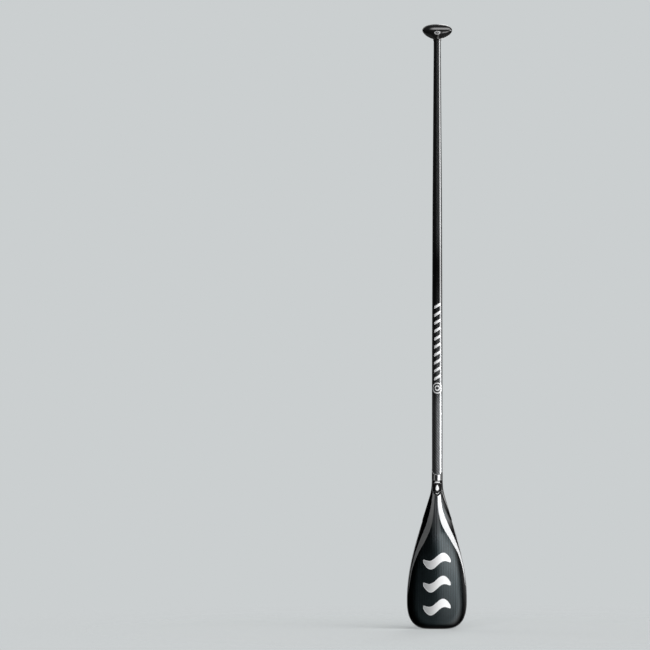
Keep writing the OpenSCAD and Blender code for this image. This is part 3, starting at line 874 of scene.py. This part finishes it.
def shaft(material):
    """The tube, with its ends open round the bore."""
    h = np.unique(np.concatenate([[p[0] for p in SHAFT], np.linspace(SHAFT[0][0], SHAFT[-1][0], 110)]))
    turn = np.linspace(0, 2 * np.pi, 160, endpoint=False)

    def ring(r, z):
        return np.stack([r * np.sin(turn), -r * np.cos(turn), 0 * turn + z], -1)

    r = shaft_r(h)
    rings = [ring(a, z) for a, z in zip(r, h)] + [ring(a - SHAFT_WALL, z) for a, z in zip(r[::-1], h[::-1])]
    points, faces = loft(np.array(rings)[:, ::-1], closed=True)
    make("shaft_body", points, faces, material, ("shaft_tube",))


DASHES, DASH_FIRST, DASH_PITCH = 10, 790, 25
DASH_W, DASH_TURN, DASH_SLANT = 9, 36, 1 / 6    # width, half length in degrees, rise per degree
ROUND_MARK_H = 761
ROUND_MARK = [((58, 17), (48, 14)), ((30, 8.5), (18, 5))]   # each ring: outside and inside, (degrees, mm)


def shaft_prints(material):
    """Slanted dashes and a round mark of two rings, printed on the front of the shaft."""
    dashes = []
    for k in range(DASHES):
        a, d = grid(np.linspace(0, DASH_W, 5), np.linspace(-DASH_TURN, DASH_TURN, 49))
        dashes.append(film(on_shaft, (a, DASH_FIRST + DASH_PITCH * k + d + DASH_SLANT * a), PAINT))
    points, faces = joined(dashes)
    make("dash_print", points, faces, material, ("shaft_dashes",))
    points, faces = joined([band(on_shaft, oval(*outside, ROUND_MARK_H), oval(*inside, ROUND_MARK_H), PAINT)
                            for outside, inside in ROUND_MARK])
    make("round_print", points, faces, material, ("shaft_ring",))


# ---- Grip ----

def grip_shell(side, name, material, node):
    """Front (side -1) or back (side 1) half of the grip's shell."""
    x = mix(COLLAR_R, GRIP_X, np.sin(np.radians(np.linspace(0, 90, 36))))
    low = SEAM_H - GRIP_DOWN * (1 - (x / GRIP_X) ** GRIP_M) ** GRIP_N
    rows = np.concatenate([np.linspace(SEAM_H - GRIP_LOW, low[0], 5)[:-1], low])
    climb = np.radians(np.linspace(0, 90, 40)[1:])
    turn = np.radians(np.linspace(180, 360 if side < 0 else 0, 97))

    def face(t):
        h = np.concatenate([rows, SEAM_H + (GRIP_UP - t) * np.sin(climb)])[:, None]
        wide = np.maximum(grip_x(h, t), TOP_FLAT)
        return np.stack([wide * np.cos(turn), grip_y(h, t) * np.sin(turn), h + 0 * turn], -1)

    outer, inner = face(0.0), face(GRIP_T)
    points, faces = plate(outer, inner) if side < 0 else plate(inner, outer)
    make(name, points, faces, material, (node,))


GRIP_MARK_DROP = 7.7        # from the seam down to the mark's centre
GRIP_MARK = [((9.8, 5.4), (5.6, 2.9), 96), ((2.4, 1.3), (0.8, 0.5), 48)]    # outside, inside, points


def grip_mark(material):
    """Plain mark of two oval rings on the front of the grip."""
    h = SEAM_H - GRIP_MARK_DROP
    points, faces = joined([band(on_grip, oval(*outside, h, n), oval(*inside, h, n), PAINT)
                            for outside, inside, n in GRIP_MARK])
    make("grip_mark", points, faces, material, ("grip_ring",))


# ---- Build ----

carbon_front = blade_carbon("blade_braid", (0.011, 0.0155, 0.017), (0.036, 0.051, 0.057))
carbon_back = blade_carbon("blade_braid_back", grey(0.008), grey(0.06, 0.05), (0.5, 0.36), 1.0)
skin(-1, "power_shell", carbon_front)
skin(1, "back_shell", carbon_back)
guard(guard_weave())
# Left swoosh: silver paint, painted dark as painted shade, growing lighter towards the neck.
swoosh("swoosh_shaded", LEFT_OUTER, LEFT_INNER,
       paint("shaded_silver", ((300.0, 0.09), (470.0, 0.26)), axis="h"), "swoosh_left")
# Right swoosh: the same silver paint, painted light as a painted highlight, darker towards the blade's edge
# as painted shade.
swoosh("swoosh_lit", RIGHT_INNER, RIGHT_OUTER,
       paint("lit_silver", ((-10.0, 0.84), (90.0, 0.7)), metallic=0.1), "swoosh_right")
# The waves' silver is painted dark on the left and light on the right, painted shade and highlight; their
# outline likewise, less so.
waves(paint("wave_silver", ((-46.0, 0.26), (34.0, 0.92)), metallic=0.1),
      paint("wave_edge", ((-40.0, 0.8), (42.0, 0.95)), metallic=0.1))
lip_bead(lip_highlight_resin())
# Prints on the shield, painted a little lighter towards the right as a painted highlight.
white_print = paint("white_print", ((-16.0, 0.8), (16.0, 0.92)), metallic=0.1)
badge(satin_black(), white_print, paint("line_print", ((-16.0, 0.2), (16.0, 0.24)), metallic=0.1))
shaft(shaft_carbon())
# Shaft print, painted lighter towards the right as a painted highlight.
shaft_prints(paint("shaft_print", ((-12.0, 0.6), (12.0, 0.72)), metallic=0.15))
grip_black = gloss_black()
grip_shell(-1, "palm_front", grip_black, "grip_front_shell")
grip_shell(1, "palm_back", grip_black, "grip_back_shell")
# Grip mark, painted a little lighter towards the right as a painted highlight.
grip_mark(paint("grip_print", ((-10.0, 0.34), (10.0, 0.38)), metallic=0.2))

INSIDE = {
    foam(): ("blade_core_left", "blade_core_right", "grip_core", "shaft_lower_plug", "shaft_upper_plug"),
    laminate("spine_wood", (0.42, 0.3, 0.16), (0.62, 0.47, 0.28)): ("blade_spine",),
    laminate("inner_carbon", grey(0.015), grey(0.06)): ("neck_spigot", "grip_stem"),
    resin(): ("neck_adhesive", "grip_adhesive"),
}
for inner, nodes in INSIDE.items():
    for node in nodes:
        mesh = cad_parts[node].data
        mesh.materials.clear()
        mesh.materials.append(inner)


# ---- Studio ----

# The studio is in metres.
BACKDROP = (0.597, 0.624, 0.631)
FLOOR_COLOUR = (0.535, 0.558, 0.563)
FLOOR_R, FLOOR_SIDES = 2.2, 96
FLOOR_FADE = (1.9, 0.25, 0.0, 0.8)      # from this distance in to this, the alpha goes from this to this
FRAME_W = 2.0436            # width of the picture at the paddle
DISTANCE = 20.0
EYE_X, EYE_H = -0.3528, 0.9593          # where the camera stands: beside the paddle, and above its tip
SENSOR = 36                 # width of the camera's sensor, in its usual millimetres

BASE = (0.012, 0.16)        # glow at the floor and overhead
# Softboxes: azimuth in (from, full), azimuth out (full, to), the same for elevation, and strength
SOFTBOXES = [
    ((52, 76), (91, 106), (-4, -1), (5, 11), 15.5),         # key, to the right
    ((96, 102), (106, 125), (-40, -20), (28, 45), 0.3),     # fill behind it
    ((0, 7.5), (6, 12), (-36, -25), (-20, -15), 3.4),       # low card that the blade mirrors
    ((-6, 4), (9, 13), (-22, -17), (-12, -4), 1.1),         # a wider one above it
    ((1, 12), (8, 13), (-22, -17), (-13, -8), 9.5),         # a bright one at its right end
    ((12, 26), (42, 56), (-30, -20), (-20, -15), 9.0),      # strips for the neck's right flank
    ((38, 50), (56, 66), (-20, -15), (-14, -9), 5.0),
    ((-30, -8), (50, 95), (8, 24), (30, 60), 8.0),          # high strip for the grip
    ((-190, -185), (185, 190), (-100, -95), (-48, -31), 0.3),   # what the floor sends back up
    ((95, 150), (190, 200), (12, 40), (50, 70), 0.8),       # soft glow above the back
    ((-200, -190), (-150, -95), (12, 40), (50, 70), 0.8),
    ((158, 164), (174, 179), (10, 16), (45, 65), 5.0),      # strips behind, above and below the horizon
    ((158, 164), (174, 179), (-50, -35), (-16, -9), 4.0),
    ((-140, -130), (-120, -110), (8, 16), (45, 65), 2.0),
    ((-140, -130), (-120, -110), (-50, -35), (-16, -9), 2.0),
]


def studio_world():
    """Flat backdrop for the camera and softboxes for everything else, each with soft edges.
    Azimuth runs from 0 at the camera to the right, elevation from 0 at the horizon."""
    world = bpy.data.worlds.new("studio")
    world.use_nodes = True
    tree = world.node_tree
    tree.nodes.clear()
    g = Nodes(tree)
    x, y, z = g.split(g.node("ShaderNodeTexCoord"))
    azimuth = g.times(g.math("ARCTAN2", x, g.times(y, -1.0)), 180 / math.pi)
    elevation = g.times(g.math("ARCSINE", z), 180 / math.pi)
    total = g.node("ShaderNodeMapRange", z, -0.3, 1.0, *BASE)
    for (a0, a1), (a2, a3), (e0, e1), (e2, e3), strength in SOFTBOXES:
        glow = g.times(g.smooth(azimuth, a0, a1), g.smooth(azimuth, a3, a2))
        glow = g.times(glow, g.times(g.smooth(elevation, e0, e1), g.smooth(elevation, e3, e2)))
        total = g.add(total, g.times(glow, strength))
    light = tree.nodes.new("ShaderNodeBackground")
    tree.links.new(total, light.inputs["Strength"])
    backdrop = tree.nodes.new("ShaderNodeBackground")
    backdrop.inputs["Color"].default_value = (*BACKDROP, 1)
    ray = tree.nodes.new("ShaderNodeLightPath")
    both = tree.nodes.new("ShaderNodeMixShader")
    tree.links.new(ray.outputs["Is Camera Ray"], both.inputs[0])
    tree.links.new(light.outputs[0], both.inputs[1])
    tree.links.new(backdrop.outputs[0], both.inputs[2])
    out = tree.nodes.new("ShaderNodeOutputWorld")
    tree.links.new(both.outputs[0], out.inputs[0])
    bpy.context.scene.world = world


def floor():
    """Pale floor at the tip that fades into the backdrop."""
    n = FLOOR_SIDES
    turn = np.linspace(0, 2 * np.pi, n, endpoint=False)
    points = [(0, 0, TIP_Z)] + [(FLOOR_R * math.cos(a), FLOOR_R * math.sin(a), TIP_Z) for a in turn]
    mesh = bpy.data.meshes.new("floor")
    mesh.from_pydata(points, [], [(0, 1 + i, 1 + (i + 1) % n) for i in range(n)])
    g = Graph("floor_paper", roughness=0.9, specular=0.0)
    coord = g.node("ShaderNodeTexCoord", out=OBJECT)
    x, y, _ = g.split(coord)
    far = g.math("SQRT", g.add(g.math("POWER", x, 2.0), g.math("POWER", y, 2.0)))
    grain = g.noise(coord, 60.0, 2.0)
    g.colour(g.blend(g.smooth(grain, *SPREAD), FLOOR_COLOUR, tuple(c * 1.01 for c in FLOOR_COLOUR)))
    g.put(g.shader.inputs["Alpha"], g.smooth(far, *FLOOR_FADE))
    mesh.materials.append(g.material)
    piece = bpy.data.objects.new("floor", mesh)
    bpy.context.scene.collection.objects.link(piece)
    piece.visible_glossy = False


def camera():
    """Long lens, level with the middle of the paddle, which stands to the right."""
    data = bpy.data.cameras.new("camera")
    data.sensor_width = SENSOR
    data.lens = SENSOR * DISTANCE / FRAME_W
    eye = bpy.data.objects.new("camera", data)
    eye.location = (EYE_X, -DISTANCE, TIP_Z + EYE_H)
    eye.rotation_euler = (math.radians(90), 0, 0)
    bpy.context.scene.collection.objects.link(eye)
    bpy.context.scene.camera = eye


studio_world()
floor()
camera()
bpy.context.scene.view_settings.view_transform = "Standard"
